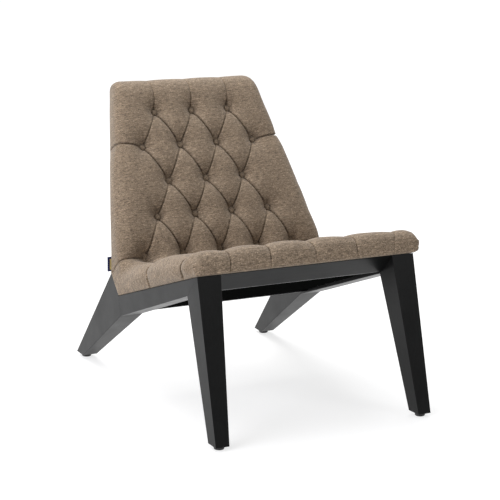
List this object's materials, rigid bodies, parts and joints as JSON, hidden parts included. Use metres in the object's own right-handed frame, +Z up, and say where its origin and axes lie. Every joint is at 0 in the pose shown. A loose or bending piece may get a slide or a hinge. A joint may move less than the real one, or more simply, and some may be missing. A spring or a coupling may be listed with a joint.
{
  "type": "slipper chair",
  "caption": "Armless low lounge chair with a deep-buttoned reclined shell on a black painted timber frame with splayed, tapered legs.",
  "frame": {"origin": "on the floor, at the middle of the footprint's bounding box", "axes": "+X to the right seen from the front, +Y from the front legs towards the back, +Z up"},
  "size_m": [0.592, 0.8342, 0.7278],
  "materials": {
    "black_paint": "satin",
    "beech_timber": "matte",
    "plywood": "matte",
    "upholstery_fabric": "matte",
    "lining_cloth": "matte",
    "zinc_steel": "satin",
    "glide_plastic": "matte",
    "tab_cloth": "matte"
  },
  "bodies": {
    "root": {"back_bracket_left": "zinc_steel", "back_bracket_right": "zinc_steel", "back_button_row_1": "upholstery_fabric", "back_button_row_2": "upholstery_fabric", "back_button_row_3": "upholstery_fabric", "back_button_row_4": "upholstery_fabric", "back_outer_cover": "upholstery_fabric", "back_pad": "upholstery_fabric", "back_panel": "plywood", "back_stile_left": "beech_timber", "back_stile_right": "beech_timber", "back_top_rail": "beech_timber", "corner_block_front_left": "beech_timber", "corner_block_front_right": "beech_timber", "corner_block_rear_left": "beech_timber", "corner_block_rear_right": "beech_timber", "crease_button_row": "upholstery_fabric", "dust_cover": "lining_cloth", "dust_cover_batten_left": "beech_timber", "dust_cover_batten_right": "beech_timber", "front_leg_left": "black_paint", "front_leg_right": "black_paint", "front_rail": "black_paint", "glide_front_left": "glide_plastic", "glide_front_right": "glide_plastic", "glide_rear_left": "glide_plastic", "glide_rear_right": "glide_plastic", "heel_bar": "beech_timber", "heel_screw_left": "zinc_steel", "heel_screw_right": "zinc_steel", "loose_tenon_front_leg_left": "beech_timber", "loose_tenon_front_leg_right": "beech_timber", "loose_tenon_front_rail_left": "beech_timber", "loose_tenon_front_rail_right": "beech_timber", "loose_tenon_rear_leg_left": "beech_timber", "loose_tenon_rear_leg_right": "beech_timber", "loose_tenon_rear_rail_left": "beech_timber", "loose_tenon_rear_rail_right": "beech_timber", "rear_leg_left": "black_paint", "rear_leg_right": "black_paint", "rear_rail": "black_paint", "seam_tab": "tab_cloth", "seat_base_panel": "plywood", "seat_button_row_1": "upholstery_fabric", "seat_button_row_2": "upholstery_fabric", "seat_button_row_3": "upholstery_fabric", "seat_button_row_4": "upholstery_fabric", "seat_pad": "upholstery_fabric", "shell_bolt_front_left": "zinc_steel", "shell_bolt_front_right": "zinc_steel", "shell_bolt_rear_left": "zinc_steel", "shell_bolt_rear_right": "zinc_steel", "side_rail_left": "black_paint", "side_rail_right": "black_paint", "tee_nut_front_left": "zinc_steel", "tee_nut_front_right": "zinc_steel", "tee_nut_rear_left": "zinc_steel", "tee_nut_rear_right": "zinc_steel"}
  },
  "joints": []
}
